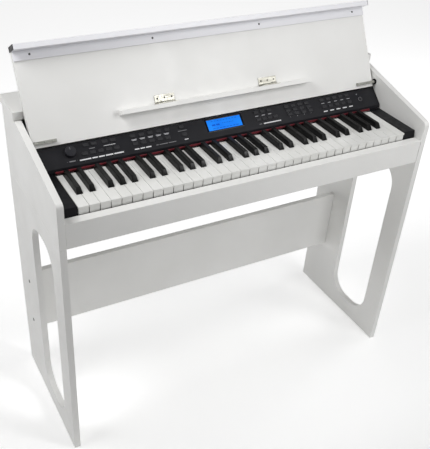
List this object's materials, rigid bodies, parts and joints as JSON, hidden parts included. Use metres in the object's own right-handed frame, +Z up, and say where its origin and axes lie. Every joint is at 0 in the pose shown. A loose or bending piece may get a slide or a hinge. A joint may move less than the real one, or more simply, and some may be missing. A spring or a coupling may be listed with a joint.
{
  "type": "digital piano on stand",
  "caption": "White digital piano console on two cut-out leg panels, with a folding lid, music ledge, black control panel with display, and a full row of sprung keys.",
  "frame": {"origin": "on the floor, at the centre of the bounding box", "axes": "+Z up, +X to the player's right, +Y from the player to the rear of the piano"},
  "size_m": [0.956, 0.358, 0.9296],
  "materials": {
    "white_laminate": "satin white laminate on board",
    "white_plastic": "satin white extruded strip",
    "steel": "dull zinc-plated steel",
    "hinge_brass": "pale brass-plated hinge",
    "black_plastic": "fine-textured black moulding",
    "button_grey": "matt dark grey button",
    "display_blue": "lit blue display window",
    "circuit_board": "green circuit board",
    "speaker": "black speaker frame and cone",
    "felt": "dark red felt",
    "white_key": "glossy white key",
    "black_key": "satin black key"
  },
  "bodies": {
    "cabinet": {"leg_left": "white_laminate", "cheek_left": "white_laminate", "lid_hinge_bush_left": "black_plastic", "end_block_left": "black_plastic", "speaker_left": "speaker", "leg_right": "white_laminate", "cheek_right": "white_laminate", "lid_hinge_bush_right": "black_plastic", "end_block_right": "black_plastic", "speaker_right": "speaker", "top_panel": "white_laminate", "back_panel": "white_laminate", "key_bed": "white_laminate", "front_rail": "white_laminate", "modesty_panel": "white_laminate", "keyboard_case": "black_plastic", "control_panel": "black_plastic", "display_module": "black_plastic", "power_inlet": "black_plastic", "felt_strip": "felt", "display_window": "display_blue", "circuit_board": "circuit_board"},
    "lid": {"lid_panel": "white_laminate", "lid_front_strip": "white_plastic", "lid_hinge_bar_left": "steel", "lid_hinge_bar_right": "steel", "ledge_hinge_leaf_left": "hinge_brass", "ledge_hinge_leaf_right": "hinge_brass"},
    "music_ledge": {"music_ledge": "white_laminate", "ledge_hinge_flap_left": "hinge_brass", "ledge_hinge_flap_right": "hinge_brass"},
    "buttons_mode": {"buttons_mode": "button_grey"},
    "buttons_style": {"buttons_style": "button_grey"},
    "buttons_tempo": {"buttons_tempo": "button_grey"},
    "buttons_song": {"buttons_song": "button_grey"},
    "buttons_number": {"buttons_number": "button_grey"},
    "buttons_record": {"buttons_record": "button_grey"},
    "power_button": {"power_button": "button_grey"},
    "volume_knob": {"volume_knob": "button_grey"},
    "key_top_c": {"key_top_c": "white_key"},
    "key_c": {"key_c": "white_key"},
    "key_d": {"key_d": "white_key"},
    "key_e": {"key_e": "white_key"},
    "key_f": {"key_f": "white_key"},
    "key_g": {"key_g": "white_key"},
    "key_a": {"key_a": "white_key"},
    "key_b": {"key_b": "white_key"},
    "key_c_sharp": {"key_c_sharp": "black_key"},
    "key_d_sharp": {"key_d_sharp": "black_key"},
    "key_f_sharp": {"key_f_sharp": "black_key"},
    "key_g_sharp": {"key_g_sharp": "black_key"},
    "key_a_sharp": {"key_a_sharp": "black_key"},
    "white_keys_octave_1": {"white_keys_octave_1": "white_key"},
    "black_keys_octave_1": {"black_keys_octave_1": "black_key"},
    "white_keys_octave_2": {"white_keys_octave_2": "white_key"},
    "black_keys_octave_2": {"black_keys_octave_2": "black_key"},
    "white_keys_octave_4": {"white_keys_octave_4": "white_key"},
    "black_keys_octave_4": {"black_keys_octave_4": "black_key"},
    "white_keys_octave_5": {"white_keys_octave_5": "white_key"},
    "black_keys_octave_5": {"black_keys_octave_5": "black_key"}
  },
  "joints": [
    {"name": "lid_hinge", "type": "hinge", "parent": "cabinet", "child": "lid", "pos_m": [0, 0.024, 0.7419], "axis": [1, 0, 0], "range_deg": [0, 132.5]},
    {"name": "ledge_hinge", "type": "hinge", "parent": "lid", "child": "music_ledge", "pos_m": [0, 0.04482, 0.77575], "axis": [-1, 0, 0], "range_deg": [0, 88]},
    {"name": "key_c_press", "type": "hinge", "parent": "cabinet", "child": "key_c", "pos_m": [-0.08225, 0.056, 0.672], "axis": [1, 0, 0], "range_deg": [0, 2.7], "stiffness_Nm_per_rad": 0.4, "springref_deg": -17.19},
    {"name": "key_d_press", "type": "hinge", "parent": "cabinet", "child": "key_d", "pos_m": [-0.05875, 0.056, 0.672], "axis": [1, 0, 0], "range_deg": [0, 2.7], "stiffness_Nm_per_rad": 0.4, "springref_deg": -17.19},
    {"name": "key_e_press", "type": "hinge", "parent": "cabinet", "child": "key_e", "pos_m": [-0.03525, 0.056, 0.672], "axis": [1, 0, 0], "range_deg": [0, 2.7], "stiffness_Nm_per_rad": 0.4, "springref_deg": -17.19},
    {"name": "key_f_press", "type": "hinge", "parent": "cabinet", "child": "key_f", "pos_m": [-0.01175, 0.056, 0.672], "axis": [1, 0, 0], "range_deg": [0, 2.7], "stiffness_Nm_per_rad": 0.4, "springref_deg": -17.19},
    {"name": "key_g_press", "type": "hinge", "parent": "cabinet", "child": "key_g", "pos_m": [0.01175, 0.056, 0.672], "axis": [1, 0, 0], "range_deg": [0, 2.7], "stiffness_Nm_per_rad": 0.4, "springref_deg": -17.19},
    {"name": "key_a_press", "type": "hinge", "parent": "cabinet", "child": "key_a", "pos_m": [0.03525, 0.056, 0.672], "axis": [1, 0, 0], "range_deg": [0, 2.7], "stiffness_Nm_per_rad": 0.4, "springref_deg": -17.19},
    {"name": "key_b_press", "type": "hinge", "parent": "cabinet", "child": "key_b", "pos_m": [0.05875, 0.056, 0.672], "axis": [1, 0, 0], "range_deg": [0, 2.7], "stiffness_Nm_per_rad": 0.4, "springref_deg": -17.19},
    {"name": "key_c_sharp_press", "type": "hinge", "parent": "cabinet", "child": "key_c_sharp", "pos_m": [-0.0729, 0.056, 0.672], "axis": [1, 0, 0], "range_deg": [0, 2.7], "stiffness_Nm_per_rad": 0.4, "springref_deg": -17.19},
    {"name": "key_d_sharp_press", "type": "hinge", "parent": "cabinet", "child": "key_d_sharp", "pos_m": [-0.0446, 0.056, 0.672], "axis": [1, 0, 0], "range_deg": [0, 2.7], "stiffness_Nm_per_rad": 0.4, "springref_deg": -17.19},
    {"name": "key_f_sharp_press", "type": "hinge", "parent": "cabinet", "child": "key_f_sharp", "pos_m": [-0.0034, 0.056, 0.672], "axis": [1, 0, 0], "range_deg": [0, 2.7], "stiffness_Nm_per_rad": 0.4, "springref_deg": -17.19},
    {"name": "key_g_sharp_press", "type": "hinge", "parent": "cabinet", "child": "key_g_sharp", "pos_m": [0.0235, 0.056, 0.672], "axis": [1, 0, 0], "range_deg": [0, 2.7], "stiffness_Nm_per_rad": 0.4, "springref_deg": -17.19},
    {"name": "key_a_sharp_press", "type": "hinge", "parent": "cabinet", "child": "key_a_sharp", "pos_m": [0.0504, 0.056, 0.672], "axis": [1, 0, 0], "range_deg": [0, 2.7], "stiffness_Nm_per_rad": 0.4, "springref_deg": -17.19},
    {"name": "white_keys_octave_1_press", "type": "hinge", "parent": "cabinet", "child": "white_keys_octave_1", "pos_m": [-0.34075, 0.056, 0.672], "axis": [1, 0, 0], "range_deg": [0, 2.7], "stiffness_Nm_per_rad": 2.8, "springref_deg": -17.19},
    {"name": "black_keys_octave_1_press", "type": "hinge", "parent": "cabinet", "child": "black_keys_octave_1", "pos_m": [-0.34075, 0.056, 0.672], "axis": [1, 0, 0], "range_deg": [0, 2.7], "stiffness_Nm_per_rad": 2, "springref_deg": -17.19},
    {"name": "white_keys_octave_2_press", "type": "hinge", "parent": "cabinet", "child": "white_keys_octave_2", "pos_m": [-0.17625, 0.056, 0.672], "axis": [1, 0, 0], "range_deg": [0, 2.7], "stiffness_Nm_per_rad": 2.8, "springref_deg": -17.19},
    {"name": "black_keys_octave_2_press", "type": "hinge", "parent": "cabinet", "child": "black_keys_octave_2", "pos_m": [-0.17625, 0.056, 0.672], "axis": [1, 0, 0], "range_deg": [0, 2.7], "stiffness_Nm_per_rad": 2, "springref_deg": -17.19},
    {"name": "white_keys_octave_4_press", "type": "hinge", "parent": "cabinet", "child": "white_keys_octave_4", "pos_m": [0.15275, 0.056, 0.672], "axis": [1, 0, 0], "range_deg": [0, 2.7], "stiffness_Nm_per_rad": 2.8, "springref_deg": -17.19},
    {"name": "black_keys_octave_4_press", "type": "hinge", "parent": "cabinet", "child": "black_keys_octave_4", "pos_m": [0.15275, 0.056, 0.672], "axis": [1, 0, 0], "range_deg": [0, 2.7], "stiffness_Nm_per_rad": 2, "springref_deg": -17.19},
    {"name": "white_keys_octave_5_press", "type": "hinge", "parent": "cabinet", "child": "white_keys_octave_5", "pos_m": [0.31725, 0.056, 0.672], "axis": [1, 0, 0], "range_deg": [0, 2.7], "stiffness_Nm_per_rad": 2.8, "springref_deg": -17.19},
    {"name": "black_keys_octave_5_press", "type": "hinge", "parent": "cabinet", "child": "black_keys_octave_5", "pos_m": [0.31725, 0.056, 0.672], "axis": [1, 0, 0], "range_deg": [0, 2.7], "stiffness_Nm_per_rad": 2, "springref_deg": -17.19},
    {"name": "key_top_c_press", "type": "hinge", "parent": "cabinet", "child": "key_top_c", "pos_m": [0.41125, 0.056, 0.672], "axis": [1, 0, 0], "range_deg": [0, 2.7], "stiffness_Nm_per_rad": 0.4, "springref_deg": -17.19},
    {"name": "buttons_mode_press", "type": "slide", "parent": "cabinet", "child": "buttons_mode", "axis": [0, 0.6561, -0.7547], "range_m": [0, 0.001], "stiffness_N_per_m": 900, "springref_m": -0.001},
    {"name": "buttons_style_press", "type": "slide", "parent": "cabinet", "child": "buttons_style", "axis": [0, 0.6561, -0.7547], "range_m": [0, 0.001], "stiffness_N_per_m": 900, "springref_m": -0.001},
    {"name": "buttons_tempo_press", "type": "slide", "parent": "cabinet", "child": "buttons_tempo", "axis": [0, 0.6561, -0.7547], "range_m": [0, 0.001], "stiffness_N_per_m": 900, "springref_m": -0.001},
    {"name": "buttons_song_press", "type": "slide", "parent": "cabinet", "child": "buttons_song", "axis": [0, 0.6561, -0.7547], "range_m": [0, 0.001], "stiffness_N_per_m": 900, "springref_m": -0.001},
    {"name": "buttons_number_press", "type": "slide", "parent": "cabinet", "child": "buttons_number", "axis": [0, 0.6561, -0.7547], "range_m": [0, 0.001], "stiffness_N_per_m": 900, "springref_m": -0.001},
    {"name": "buttons_record_press", "type": "slide", "parent": "cabinet", "child": "buttons_record", "axis": [0, 0.6561, -0.7547], "range_m": [0, 0.001], "stiffness_N_per_m": 900, "springref_m": -0.001},
    {"name": "power_button_press", "type": "slide", "parent": "cabinet", "child": "power_button", "axis": [0, 0.6561, -0.7547], "range_m": [0, 0.001], "stiffness_N_per_m": 900, "springref_m": -0.001},
    {"name": "volume_turn", "type": "hinge", "parent": "cabinet", "child": "volume_knob", "pos_m": [-0.38, 0.0112, 0.71374], "axis": [0, -0.6561, 0.7547], "range_deg": [-140, 140]}
  ]
}
